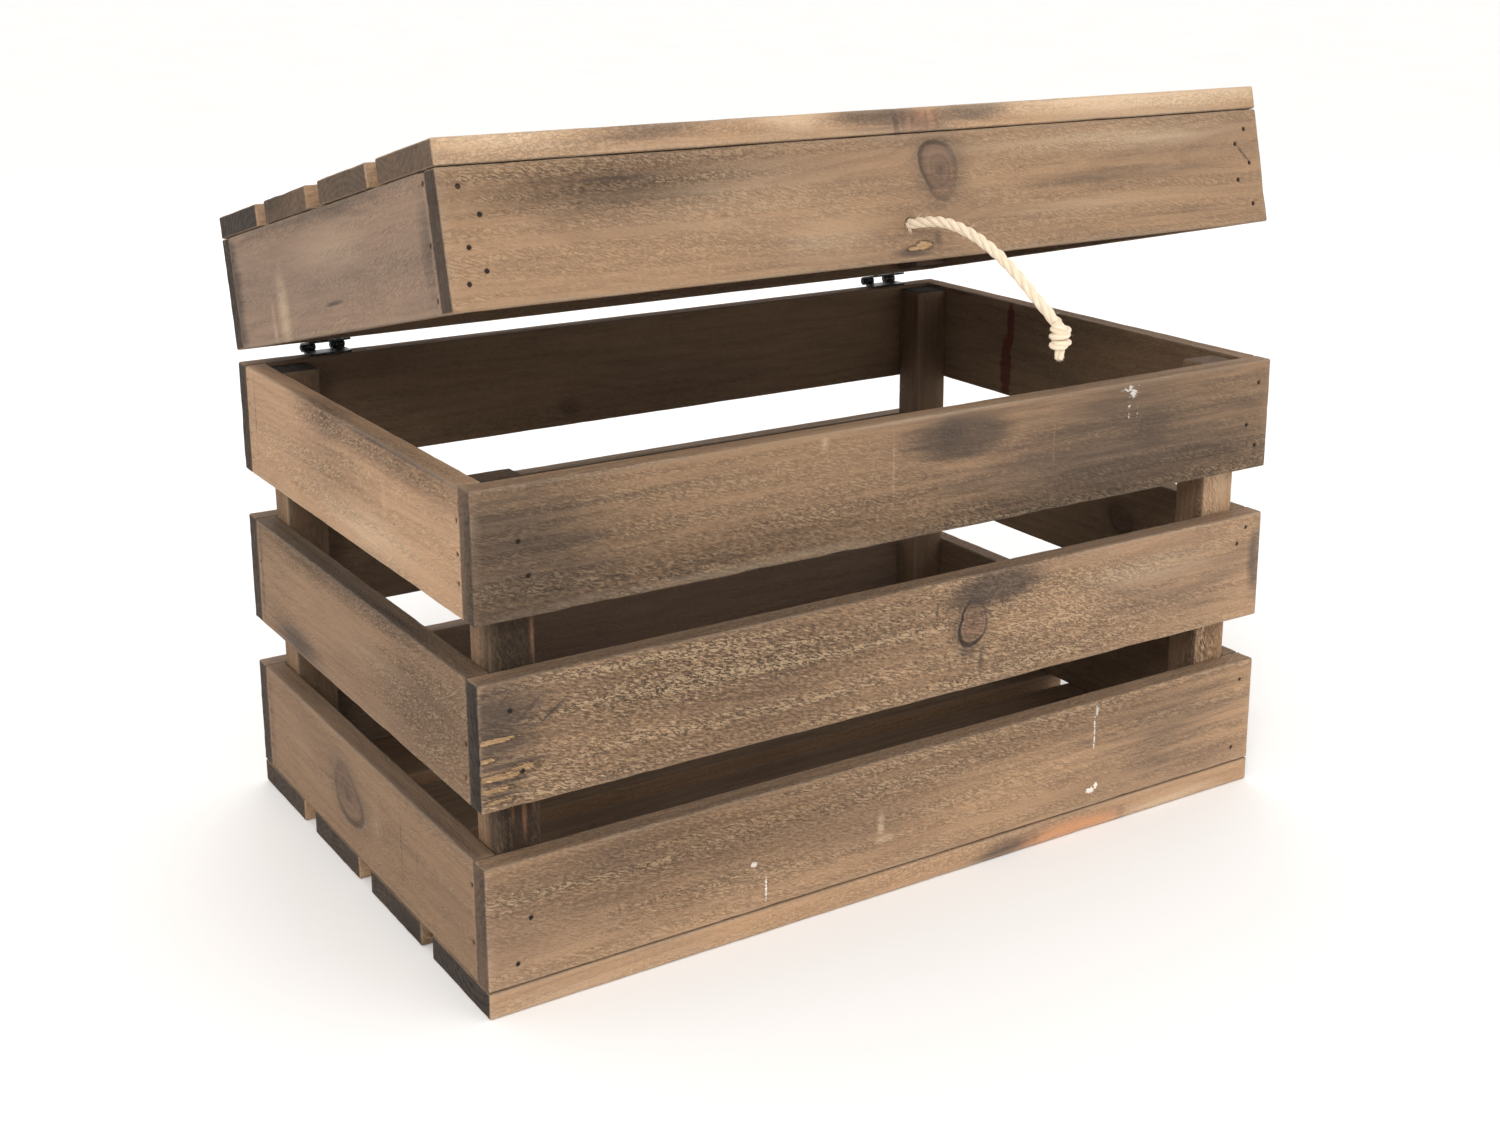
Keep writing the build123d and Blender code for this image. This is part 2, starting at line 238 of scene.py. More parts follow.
marks_mm["lid_front_board"] = {
    "rough": ((80, 52, 60, 9, 0.8),),
    "dark": (
        (273, 46, 22, 22, 0.5), (88, 53, 22, 1.6, 0.65), (45, 54, 16, 1.4, 0.4), (80, 42, 110, 12, 0.35),
        (380, 34, 90, 6, 0.55), (420, 12, 80, 4, 0.35), (246, 14, 34, 12, 0.3), (250, 5, 14, 3, 0.9),
        (266, 10, 3, 6, 0.7), (485.7, 39.5, 7, 0.7, 1.2, -49),
    ),
    "pale": (
        (300, 40, 14, 30, 0.25), (390, 54, 110, 8, 0.55), (380, 20, 90, 5, 0.4), (200, 20, 40, 20, 0.4),
        (160, 36, 70, 24, 0.35),
    ),
    "fresh": ((257, 7.5, 5, 2.2, 1), (251, 6.5, 5, 1.2, 0.9)),
}
marks_mm["lid_left_board"] = {
    "dark": ((140, 66, 170, 10, 1), (296, 30, 14, 50, 1.1), (6, 34, 9, 40, 0.6), (134, 15, 14, 1.3, 1)),
    "pale": ((214, 12, 10, 26, 0.75), (232, 6, 4, 20, 0.55), (130, 44, 80, 16, 0.4)),
}
marks_mm["front_left_post"] = {
    "rough": ((122, 12, 200, 30, 0.7),),
    "dark": (
        (122, 12, 300, 40, 0.95), (85, 6, 16, 5, 1), (176, 9, 22, 4, 1), (176, 17, 22, 3, 0.9),
        (76, 23, 12, 3, 1),
    ),
    "orange": (
        (80, 15, 18, 1.6, 0.7), (90, 20, 15, 1.4, 0.7), (84, 9, 12, 1.2, 0.6), (172, 22, 20, 1.8, 0.6),
    ),
}
marks_mm["lid_front_slat"] = {
    "dark": ((300, 3, 24, 14, 1.25), (234, 0, 30, 9, 1.2), (112, 0, 46, 9, 0.7), (284, 4, 14, 3, 0.8)),
    "pale": ((30, 0, 50, 14, 0.8), (418, 0, 110, 16, 1.2), (190, 0, 26, 14, 0.7)),
    "orange": ((268, 0, 14, 5, 0.5),),
}

# How light and how red each board is, how dark its end grain is, and how much painted shade darkens its upper
# edge. Boards that aren't listed draw the first two at random.
tones = {
    "front_top_board": (0.74, 0.5, 0.5, 0.0),
    "front_middle_board": (1.13, 0.5, 1.0, 0.6),
    "front_bottom_board": (1.1, 0.5, 0.74, 0.6),
    "front_base_slat": (1.16, 0.7, 1.1, 0.3),
    "left_top_board": (1.09, 0.85, 0.8, 0.3),
    "left_middle_board": (0.71, 0.8, 0.9, 1.0),
    "left_bottom_board": (0.66, 0.85, 0.8, 0.6),
    "right_top_board": (0.95, 0.5, 0.8, 0.5),
    "lid_front_board": (0.84, 0.4, 0.9, 0.2),
    "lid_left_board": (0.75, 0.0, 0.9, 0.2),
    "lid_front_slat": (1.1, 0.15, 0.8, 0.2),
    "lid_front_inner_slat": (0.98, 0.4, 0.8, 0.2),
    "lid_back_inner_slat": (0.86, 0.5, 0.7, 0.2),
    "lid_back_slat": (0.94, 0.3, 1.0, 0.2),
    "front_left_post": (0.71, 0.7, 0.7, 0.3),
    "front_right_post": (1.3, 0.75, 0.7, 0.3),
}


def drawn_marks(draw, length_mm, height_mm):
    """Marks for a board that no one list gives: a rough-sawn area, stains and a bleached area."""
    marks = {"rough": [], "dark": [], "pale": []}
    for kind, count, longest, tallest, strongest in (
        ("rough", 2, 130, 34, 0.9),
        ("dark", 3, 60, 12, 0.75),
        ("pale", 1, 80, 16, 0.45),
    ):
        for _ in range(count):
            along, up = draw.uniform(0, length_mm), draw.uniform(0, height_mm)
            half_along, half_up = draw.uniform(0.3, 1) * longest, draw.uniform(0.35, 1) * tallest
            marks[kind].append((along, up, half_along, half_up, draw.uniform(0.4, 1) * strongest))
    return marks


def placed(name, data):
    """A new object, put into the scene."""
    made = bpy.data.objects.new(name, data)
    bpy.context.scene.collection.objects.link(made)
    return made


def joined(name, points, faces, body, material):
    """A smooth mesh piece in the row frame that rides on a body."""
    mesh = bpy.data.meshes.new(name)
    mesh.from_pydata(np.asarray(points).tolist(), [], faces)
    mesh.update()
    mesh.shade_smooth()
    mesh.materials.append(material)
    piece = placed(name, mesh)
    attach(piece, body)
    return piece


def moved(points, matrix):
    """Points turned and shifted by a 4x4 matrix."""
    matrix = np.array(matrix)
    return np.asarray(points) @ matrix[:3, :3].T + matrix[:3, 3]


def unit(vectors):
    """Vectors brought to a length of one."""
    return vectors / np.linalg.norm(vectors, axis=-1, keepdims=True)


def distance_along(line):
    """How far along the line each of its points is."""
    return np.concatenate([[0], np.cumsum(np.linalg.norm(np.diff(line, axis=0), axis=1))])


def circle(sides):
    """The corners of a regular polygon, one unit from its middle."""
    angles = 2 * pi * np.arange(sides) / sides
    return np.stack([np.cos(angles), np.sin(angles)], axis=1)


# ---- Camera and light ----

camera_place = (-0.5802, -0.9253, 0.4979)
camera_heading = radians(32.22)
camera_dip = radians(13.93)
camera_roll = radians(-0.24)
focal_length_mm = 46.41
frame_shift = -0.1
light_target = (0, 0, 0.2)


def make_camera():
    """A camera where the photographer stood, with a small downward shift of the frame."""
    lens = bpy.data.cameras.new("camera")
    lens.sensor_width = 36
    lens.lens = focal_length_mm
    lens.shift_y = frame_shift
    lens.clip_start = 0.05
    lens.clip_end = 50
    camera = placed("camera", lens)
    stand = Matrix.Translation(camera_place)
    for turn, axis in ((-camera_heading, "Z"), (pi / 2 - camera_dip, "X"), (camera_roll, "Z")):
        stand @= Matrix.Rotation(turn, 4, axis)
    camera.matrix_world = stand
    bpy.context.scene.camera = camera


def area_light(name, place, size, watts, colour):
    """A square soft light that faces the crate."""
    light = bpy.data.lights.new(name, "AREA")
    light.size = size
    light.energy = watts
    light.color = colour
    lamp = placed(name, light)
    lamp.location = place
    lamp.rotation_euler = (Vector(light_target) - Vector(place)).to_track_quat("-Z", "Y").to_euler()


def make_lights():
    """Soft studio light, mostly from the front and the left, over a pale surround."""
    area_light("key_light", (-1.5, -1.7, 1.5), 0.7, 25, (1, 0.98, 0.95))
    area_light("front_light", (1.3, -2.1, 0.7), 1.6, 8, (1, 0.98, 0.95))
    area_light("back_light", (1.2, 2.4, 1.4), 1.8, 14, (1, 0.98, 0.96))
    world = bpy.data.worlds.new("surround")
    world.use_nodes = True
    background = world.node_tree.nodes["Background"]
    background.inputs["Color"].default_value = (1, 0.99, 0.98, 1)
    background.inputs["Strength"].default_value = 1.14
    bpy.context.scene.world = world
    bpy.context.scene.view_settings.view_transform = "Standard"


# ---- Materials ----


class Shader:
    """A Principled material and short calls that add nodes to it."""

    def __init__(self, name, **sockets):
        self.material = bpy.data.materials.new(name)
        self.material.use_nodes = True
        self.tree = self.material.node_tree
        self.surface = self.tree.nodes["Principled BSDF"]
        self.colour = None
        for socket, value in sockets.items():
            self.surface.inputs[socket.replace("_", " ")].default_value = value

    def node(self, kind, inputs, **settings):
        """A new node's outputs, given its settings and numbers, colours or outputs to go into it."""
        made = self.tree.nodes.new("ShaderNode" + kind)
        for setting, value in settings.items():
            setattr(made, setting, value)
        for socket, value in inputs.items():
            if isinstance(value, bpy.types.NodeSocket):
                self.tree.links.new(value, made.inputs[socket])
            else:
                made.inputs[socket].default_value = value
        return made.outputs

    def math(self, operation, first, second=0.0, third=0.0):
        """One arithmetic step."""
        inputs = {0: first, 1: second, 2: third}
        return self.node("Math", inputs, operation=operation)[0]

    def times(self, first, second):
        """The product of two values."""
        return self.math("MULTIPLY", first, second)

    def times_add(self, first, second, third):
        """The product of two values, plus a third."""
        return self.math("MULTIPLY_ADD", first, second, third)

    def centred(self, noise):
        """A noise moved to run from -0.5 to 0.5."""
        return self.math("SUBTRACT", noise, 0.5)

    def attribute(self, name):
        """A vector stored on the mesh, and its three parts."""
        vector = self.node("Attribute", {}, attribute_name=name)["Vector"]
        parts = self.node("SeparateXYZ", {0: vector})
        return vector, parts[0], parts[1], parts[2]

    def noise(self, place, along, across, detail=2.0, roughness=0.55):
        """Fractal noise from 0 to 1, with so many bumps a metre along the grain and across it."""
        inputs = {0: place, 1: (along, across, across)}
        scaled = self.node("VectorMath", inputs, operation="MULTIPLY")[0]
        inputs = {"Vector": scaled, "Scale": 1.0, "Detail": detail, "Roughness": roughness}
        return self.node("TexNoise", inputs)[0]

    def ramp(self, value, low, high, bottom=0.0, top=1.0):
        """A smooth step of the value between low and high."""
        inputs = {0: value, 1: low, 2: high, 3: bottom, 4: top}
        return self.node("MapRange", inputs, interpolation_type="SMOOTHSTEP")[0]

    def blend(self, amount, first, second, mode="MIX"):
        """Two colours mixed by the amount."""
        inputs = {0: amount, 6: first, 7: second}
        return self.node("Mix", inputs, data_type="RGBA", blend_type=mode)[2]

    def lay(self, amount, tint, mode="MIX"):
        """Lays a tint over the colour so far."""
        self.colour = self.blend(amount, self.colour, tint, mode)

    def finish(self, roughness, relief=None, distance=0.0, strength=1.0):
        """The material, with its colour, its roughness and small relief on its surface."""
        sockets = self.surface.inputs
        self.tree.links.new(self.colour, sockets["Base Color"])
        if roughness is not None:
            self.tree.links.new(roughness, sockets["Roughness"])
        if relief is not None:
            inputs = {"Height": relief, "Distance": distance, "Strength": strength}
            self.tree.links.new(self.node("Bump", inputs)[0], sockets["Normal"])
        return self.material


def wood_material(name, early, late, grey, stain):
    """Weathered softwood: growth rings, knots, saw marks, stains, torn fibres and nail rust, with painted shade
    and painted highlights.
    """
    wood = Shader(name, Specular_IOR_Level=0.25)
    ramp, lay, times, times_add = wood.ramp, wood.lay, wood.times, wood.times_add
    grain = wood.attribute("grain")[0]
    _, rings, ring_count, red = wood.attribute("figure")
    _, knot, rim, darkness = wood.attribute("knot")
    _, lightness, warmth, rough = wood.attribute("tone")
    _, cut, wear, painted_shade = wood.attribute("place")
    _, dark, pale, fresh = wood.attribute("marks")
    _, paint, orange, rust_and_dent_shade = wood.attribute("spots")

    # Noise drawn out along the grain, and saw marks that slant across it
    broad = wood.noise(grain, 7, 26)
    rows = wood.noise(grain, 6, 150)
    streaks = wood.noise(grain, 16, 260, 4, 0.65)
    fibres = wood.noise(grain, 60, 1500, 3)
    fleck = wood.noise(grain, 420, 900)
    turn = {0: grain, "Angle": saw_slant}
    slanted = wood.node("VectorRotate", turn, rotation_type="Z_AXIS")[0]
    sawn = wood.noise(slanted, 310, 900, 4, 0.6)

    # Growth rings: pale early wood runs into a thin dark line of late wood
    phase = wood.math("FRACT", times_add(streaks, 0.55, rings))
    ring = times(ramp(phase, 0.35, 0.9), ramp(phase, 0.93, 1, 1, 0))
    wood.colour = wood.blend(times(ring, ramp(broad, 0.35, 0.7, 0.08, 0.42)), early, late)

    # Weathering: grey streaks and areas, and a warm or a mauve tinge
    for patches in (streaks, broad):
        lay(ramp(patches, 0.42, 0.75, 0, 0.5), grey)
    lay(times(warmth, 0.35), (0.36, 0.2, 0.11, 1))
    lay(ramp(warmth, 0, 0.15, 0.5, 0), (0.29, 0.2, 0.16, 1))

    # Rough-sawn rows along the grain: painted shade in the pits, painted highlights on the raised tips, painted
    # shade in the wrinkle creases, and dark specks
    rowed = times_add(wood.centred(rows), 0.8, sawn)
    lay(times(ramp(rowed, 0.48, 0.3, 0, 0.62), rough), (0.1, 0.064, 0.04, 1))
    lay(times(ramp(rowed, 0.5, 0.64, 0, 0.75), rough), (0.56, 0.39, 0.24, 1))
    folds = wood.math("ABSOLUTE", wood.centred(wood.noise(slanted, 175, 620, 4, 0.62)))
    wrinkles = times(ramp(folds, 0, 0.05, 0.85, 0), ramp(rows, 0.35, 0.6))
    wrinkles = times(wrinkles, rough)
    lay(wrinkles, (0.085, 0.055, 0.036, 1))
    lay(ramp(fleck, 0.66, 0.74, 0, 0.35), (0.09, 0.06, 0.04, 1))

    # Knots: a red-brown heart with its own rings, a dark rim and a soft grey ring outside
    reach = times_add(wood.centred(streaks), 0.3, knot)
    knot_ring = ramp(wood.math("FRACT", times(reach, ring_count)), 0.2, 1, 0, 0.8)
    heart = wood.blend(knot_ring, (0.3, 0.165, 0.105, 1), (0.12, 0.064, 0.044, 1))
    heart = wood.blend(ramp(reach, 0.1, 0.5, 0.7, 0), heart, (0.19, 0.085, 0.05, 1))
    heart = wood.blend(ramp(reach, 0.09, 0.2, 1, 0), heart, (0.04, 0.022, 0.017, 1))
    lay(times(ramp(reach, 0.85, 1, 1, 0), darkness), heart)
    from_rim = wood.math("ABSOLUTE", wood.math("SUBTRACT", reach, 1))
    rim_line = times(ramp(from_rim, 0.035, 0.14, 1, 0), rim)
    lay(rim_line, (0.02, 0.013, 0.01, 1))
    lay(times(ramp(reach, 1, 2, 0.5, 0), darkness), (0.14, 0.1, 0.075, 1))

    # Marks with ragged edges
    ragged = times_add(wood.centred(broad), 0.5, times(wood.centred(streaks), 0.7))
    for mark, low, high, amount, tint in (
        (dark, 0.12, 0.95, 0.8, stain),
        (pale, 0.1, 0.9, 0.7, (0.58, 0.43, 0.29, 1)),
        (orange, 0.15, 0.9, 0.75, (0.5, 0.24, 0.12, 1)),
        (red, 0.3, 0.55, 0.8, (0.16, 0.016, 0.012, 1)),
    ):
        edge = times_add(ragged, ramp(mark, 0, 0.4), mark)
        lay(ramp(edge, low, high, 0, amount), tint)

    # Torn fibres with a dark outline, and spots of paint
    tears = wood.math("ADD", wood.centred(fibres), wood.centred(sawn))
    torn = times_add(tears, ramp(fresh, 0.02, 0.3, 0, 0.9), fresh)
    lay(ramp(torn, 0.12, 0.3, 0, 0.75), (0.06, 0.04, 0.028, 1))
    splinter = wood.blend(fibres, (0.68, 0.46, 0.25, 1), (0.3, 0.16, 0.075, 1))
    lay(ramp(torn, 0.36, 0.5, 0, 0.9), splinter)
    spot = times_add(wood.centred(fleck), 1.3, paint)
    lay(ramp(spot, 0.35, 0.6, 0, 0.85), (0.8, 0.76, 0.7, 1))

    # End grain, worn edges, rust round the nails with painted shade in their dents, and painted shade on faces
    # that look into the crate and on upper edges
    pores = times_add(ring, -0.35, wood.noise(grain, 500, 300, 4))
    end_tint = wood.blend(pores, (0.012, 0.009, 0.008, 1), (0.062, 0.043, 0.031, 1))
    lay(times(cut, 0.97), end_tint)
    lay(times(wear, ramp(streaks, 0.4, 0.65, 0.2, 0.8)), (0.4, 0.29, 0.2, 1))
    # Rust round the nails, with painted shade in the dents they sit in
    lay(ramp(rust_and_dent_shade, 0.2, 1, 0, 0.85), (0.05, 0.035, 0.028, 1))
    # Painted shade on inner faces and upper edges, times the board's own lightness
    lay(1, times(lightness, ramp(painted_shade, 0, 1, 1.08, 0.56)), "MULTIPLY")

    # Dry and dull, a little smoother where worn, with relief from all of the above
    roughness = times_add(wear, -0.12, ramp(streaks, 0.3, 0.7, 0.7, 0.92))
    relief = times_add(fibres, 0.22, times(ring, 0.12))
    for height, scale in (
        (streaks, 0.35),
        (rowed, times_add(rough, 4.4, 0.15)),
        (wrinkles, -1.2),
        (rim_line, -1.0),
    ):
        relief = times_add(height, scale, relief)
    return wood.finish(roughness, relief, 0.0013)


def metal_material(name, tint, wear_tint, roughness):
    """Dark steel, rubbed and rusted in small patches."""
    metal = Shader(name, Metallic=1)
    place = metal.node("TexCoord", {})["Object"]
    patches = metal.noise(place, 420, 420, 4)
    grit = metal.noise(place, 2400, 2400)
    metal.colour = metal.blend(metal.ramp(patches, 0.52, 0.68, 0, 0.6), tint, wear_tint)
    spread = metal.ramp(grit, 0.3, 0.7, roughness - 0.12, roughness + 0.15)
    return metal.finish(spread, metal.math("ADD", grit, patches), 0.00015, 0.5)


def rope_material():
    """Cream sisal rope: fine fibres along each strand, greyer in scattered patches."""
    cord = Shader("rope_fibre", Specular_IOR_Level=0.2, Sheen_Weight=0.25, Sheen_Roughness=0.5)
    strand = cord.attribute("strand")[0]
    fibres = cord.noise(strand, 260, 4200, 4, 0.65)
    soiling = cord.ramp(cord.noise(strand, 90, 500, 3), 0.5, 0.8, 0, 0.5)
    cord.colour = cord.blend(cord.ramp(fibres, 0.3, 0.7), (0.87, 0.74, 0.56, 1), (0.7, 0.56, 0.4, 1))
    cord.lay(soiling, (0.52, 0.4, 0.28, 1))
    return cord.finish(cord.ramp(fibres, 0.2, 0.8, 0.8, 0.95), fibres, 0.0005, 0.8)


def floor_material():
    """A pale matt floor."""
    floor = Shader("studio_floor", Roughness=0.8, Specular_IOR_Level=0.1)
    place = floor.node("TexCoord", {})["Object"]
    floor.colour = floor.blend(floor.noise(place, 3, 3), (0.87, 0.86, 0.85, 1), (0.9, 0.895, 0.885, 1))
    return floor.finish(None)


# ---- Noise for meshes ----


# Large odd numbers that scatter neighbouring cells and seeds
cell_factors = (73856093, 19349663, 83492791)
seed_factor = 7919
mix_factor = 1274126177


def smooth_noise(points, seed):
    """Smooth random values from -1 to 1, about one bump per unit of distance."""
    cell = np.floor(points).astype(np.int64)
    part = points - cell
    part = part * part * (3 - 2 * part)
    total = np.zeros(len(points))
    for corner in np.ndindex(2, 2, 2):
        node = cell + corner
        mixed = np.bitwise_xor.reduce(node * cell_factors, axis=1) ^ seed * seed_factor
        mixed = (mixed ^ (mixed >> 13)) * mix_factor
        value = ((mixed ^ (mixed >> 16)) & 0xFFFF) / 0x7FFF - 1
        weight = np.prod(np.where(corner, part, 1 - part), axis=1)
        total += weight * value
    return total


def rough_noise(points, seed):
    """Three layers of smooth noise, each finer and weaker."""
    total = np.zeros(len(points))
    for layer in range(3):
        total += smooth_noise(points * 2**layer, seed + layer) / 2**layer
    return total / 1.6


# ---- Timber ----


def mesh_lines(length, spacing, features):
    """Places of the mesh lines across one side: close at the rounded ends and at features."""
    turns = [edge_radius * share for share in edge_shares]
    steps = round((length - 2 * edge_radius) / spacing)
    plain = np.linspace(edge_radius, length - edge_radius, steps + 1)[1:-1]
    wanted = [(place, least_spacing) for place in features]
    wanted += [(place, crowding * spacing) for place in plain]
    kept = list(turns)
    for place, gap in sorted(wanted):
        if edge_margin < place < length - edge_margin and place - kept[-1] > gap:
            kept.append(place)
    return np.array(kept + [length - turn for turn in reversed(turns)])


def around(place, radius, shares=round_shares):
    """Mesh lines wanted across one round feature."""
    return [place + radius * share for share in shares]


def box_lattice(lines):
    """Points over a box's six sides, on the given lines, and the quads between them."""
    counts = [len(line) for line in lines]
    index = np.full(counts, -1)
    places = np.indices(counts)
    outer = np.zeros(counts, bool)
    for axis, count in enumerate(counts):
        outer |= (places[axis] == 0) | (places[axis] == count - 1)
    index[outer] = np.arange(outer.sum())
    points = np.stack([lines[axis][places[axis][outer]] for axis in range(3)], axis=1)
    quads = []
    for axis in range(3):
        for end in (0, -1):
            side = index.take(end, axis=axis)
            quad = np.stack([side[:-1, :-1], side[1:, :-1], side[1:, 1:], side[:-1, 1:]], axis=-1)
            quad = quad.reshape(-1, 4)
            faces_out = (axis != 1) == (end == -1)
            quads.append(quad if faces_out else quad[:, ::-1])
    return points, np.concatenate(quads)


def rounded(points, size):
    """The box's points with its edges rounded, and the direction that each faces."""
    core = np.clip(points, edge_radius, size - edge_radius)
    outward = unit(points - core)
    return core + outward * edge_radius, outward


class Board:
    """One piece of timber, measured along its grain, up its broad face and through its thickness."""

    def __init__(self, name, body, seed):
        self.seed = seed
        self.low, self.high = level_corners(name, body)
        self.order = np.argsort(self.low - self.high, kind="stable")
        self.size = (self.high - self.low)[self.order]
        draw = np.random.default_rng(1000 + seed)
        drawn = (draw.uniform(0.8, 1.06), draw.uniform(0.0, 0.9), 0.95, 0.6)
        self.lightness, self.warmth, self.end_shade, self.painted_top_shade = tones.get(name, drawn)
        knot = knots_mm.get(name, ())
        self.knot = tuple(measure * mm for measure in knot[:4]) + knot[4:]
        self.knot_rings = draw.uniform(0.9, 3.4)
        self.marks = marks_mm.get(name) or drawn_marks(draw, self.size[0] / mm, self.size[1] / mm)
        self.low_side = ((self.low + self.high) / 2 < crate_middle)[self.order]
        self.nails = [
            ((place - self.low)[self.order], facing[self.order])
            for place, facing in nail_heads[body]
            if np.all(place > self.low - touching) and np.all(place < self.high + touching)
        ]
        self.hole = None
        if name == "lid_front_board":
            self.hole = (rope_hole_place - self.low)[self.order]

    def feature_lines(self):
        """Places in each direction where the mesh has to be fine."""
        lines = [[], [], []]
        if self.knot:
            for axis in (0, 1):
                lines[axis] += around(self.knot[axis], self.knot[2 + axis])
        for marks in self.marks.values():
            for along, up, half_along, half_up, _, *slant in marks:
                for axis, place, half in ((0, along, half_along), (1, up, half_up)):
                    if slant:
                        lines[axis] += list(np.arange(place - half_along, place + half_along) * mm)
                    elif half < finest_mark_mm:
                        lines[axis] += around(place * mm, half * mm)
        for place, facing in self.nails:
            for axis in range(3):
                if facing[axis] == 0:
                    lines[axis] += around(place[axis], nail_head_radius)
        if self.hole is not None:
            for axis in (0, 1):
                lines[axis] += around(self.hole[axis], rope_hole_radius, hole_shares)
        return lines

    def mark(self, local, kind):
        """How strongly one kind of mark shows at each point."""
        from_low = self.low_side[2] != (kind == "red")
        depth = local[:, 2] if from_low else self.size[2] - local[:, 2]
        total = np.zeros(len(local))
        for along, up, half_along, half_up, strength, *slant in self.marks.get(kind, ()):
            turn = radians(sum(slant))
            across, above = local[:, 0] - along * mm, local[:, 1] - up * mm
            forward = (across * cos(turn) + above * sin(turn)) / (half_along * mm)
            sideways = (above * cos(turn) - across * sin(turn)) / (half_up * mm)
            spread = forward**2 + sideways**2 + (depth / mark_depth) ** 2
            total = np.maximum(total, strength * np.exp(-spread))
        return total

    def nail_field(self, local, outward):
        """One at each nail, falling to nothing at its hole's edge, on the face it was driven into."""
        total = np.zeros(len(local))
        for place, facing in self.nails:
            across = np.linalg.norm(np.cross(local - place, facing), axis=1)
            near = np.clip(1 - across / nail_hole_radius, 0, 1)
            total = np.maximum(total, near * (outward @ facing > squarely))
        return total

    def relief(self, local, outward, rough):
        """How far each point is worn, torn or sunk below the planed surface."""
        waves = rough_noise(local * waves_per_m, self.seed)
        depth = (planed_depth + rough_depth * rough) * (1 + waves)
        chips = np.clip(rough_noise(local * chips_per_m, self.seed + 11), 0, 1)
        depth += self.edge_field(local, edge_reach) * (edge_wear + chip_depth * chips**2 * (0.7 + rough))
        if self.knot:
            from_rim = knot_distance(local, self.knot) - 1
            on_face = np.abs(outward[:, 2]) > squarely
            groove = on_face * np.exp(-((from_rim / groove_width) ** 2)) * knot_rim(local, self.knot)
            depth += knot_groove * groove
        depth += nail_dent * np.clip(3.8 * self.nail_field(local, outward), 0, 1)
        splinters = 0.8 + 0.7 * smooth_noise(local * splinters_per_m, self.seed + 3)
        return depth + splinter_depth * self.mark(local, "fresh") * splinters

    def inside(self, outward):
        """How squarely each point faces into the crate, for the painted shade on inner faces. A post has two such
        sides.
        """
        facing_in = np.zeros(len(outward))
        for axis in (1, 2):
            if self.size[axis] < thin_timber:
                inward = outward[:, axis] if self.low_side[axis] else -outward[:, axis]
                facing_in = np.maximum(facing_in, inward)
        return facing_in

    def edge_field(self, local, reach):
        """One along the timber's edges, fading inwards."""
        gaps = np.sort(np.minimum(local, self.size - local), axis=1)
        return np.exp(-((gaps[:, 1] / reach) ** 2))

    def rings(self, local):
        """How many rings each point lies from the tree's heart, which runs beside the board."""
        draw = np.random.default_rng(self.seed)
        spacing = draw.uniform(*ring_spacing_mm) * mm
        heart_up = self.size[1] * draw.uniform(0.1, 0.9)
        heart_gap = draw.uniform(*heart_gap_mm) * mm
        heart_side = -heart_gap if draw.random() < 0.5 else self.size[2] + heart_gap
        slope_up, slope_side = draw.uniform(-0.05, 0.05, 2)
        up = local[:, 1]
        if self.knot:
            near = np.exp(-knot_distance(local, self.knot) ** 2 / 3)
            up = self.knot[1] + (up - self.knot[1]) * (1 - knot_bend * near)
        middle = local[:, 0] - self.size[0] / 2
        sway = smooth_noise(local * sways_per_m + 3.7, self.seed) * ring_sway_mm * mm
        ripple = smooth_noise(local * ripples_per_m, self.seed + 5) * ring_ripple_mm * mm
        rise = up - heart_up - middle * slope_up + sway
        side = local[:, 2] - heart_side - middle * slope_side
        return (np.hypot(rise, side) + ripple) / spacing

    def paint(self, mesh, local, outward, rough):
        """Keeps on the mesh what its material needs to know."""
        offset = np.random.default_rng(self.seed).uniform(-20, 20, 3)
        knot = (far_away, 0, 0)
        if self.knot:
            knot = (knot_distance(local, self.knot), knot_rim(local, self.knot), self.knot[4])
        # Painted shade: faces that look into the crate, and the upper edges, are darkened in the colour
        top_edge = 0
        if self.order[2] != 2:
            top_edge = np.clip(outward[:, list(self.order).index(2)], 0, 1)
        painted_shade = np.clip(self.inside(outward) + self.painted_top_shade * top_edge, 0, 1)
        ends = np.abs(outward[:, 0]) ** 3
        wear = self.edge_field(local, pale_edge_reach) * (1 - ends)
        # Rust round each nail, which also paints shade into the dent the nail sits in
        rust_and_dent_shade = np.clip(4 * self.nail_field(local, outward), 0, 1)
        store(mesh, "grain", (local + offset).T)
        store(mesh, "knot", knot)
        store(mesh, "figure", (self.rings(local), self.knot_rings, self.mark(local, "red")))
        store(mesh, "tone", (self.lightness, self.warmth, rough))
        store(mesh, "place", (ends * self.end_shade, wear, painted_shade))
        store(mesh, "marks", [self.mark(local, kind) for kind in ("dark", "pale", "fresh")])
        store(mesh, "spots", (self.mark(local, "paint"), self.mark(local, "orange"), rust_and_dent_shade))


def knot_directions(local, knot):
    """Distance from a knot's middle, in knot radii, and the direction away from it."""
    along, up, half_along, half_up = knot[:4]
    across, above = (local[:, 0] - along) / half_along, (local[:, 1] - up) / half_up
    return np.hypot(across, above), np.arctan2(above, across)


def knot_distance(local, knot):
    """Distance from an uneven knot's middle, in knot radii, crowded towards its darkest side."""
    reach, angle = knot_directions(local, knot)
    side = radians(knot[6])
    lumps = 0.1 * np.cos(2 * angle + side) + 0.06 * np.cos(3 * angle + 2 * side)
    reach = reach / (1 + lumps)
    return reach + 0.3 * np.clip(1 - reach, 0, 1) * reach * np.cos(angle - side)


def knot_rim(local, knot):
    """How dark a knot's rim is in each direction."""
    angle = knot_directions(local, knot)[1]
    return knot[5] * (0.68 + 0.32 * np.cos(angle - radians(knot[6])))


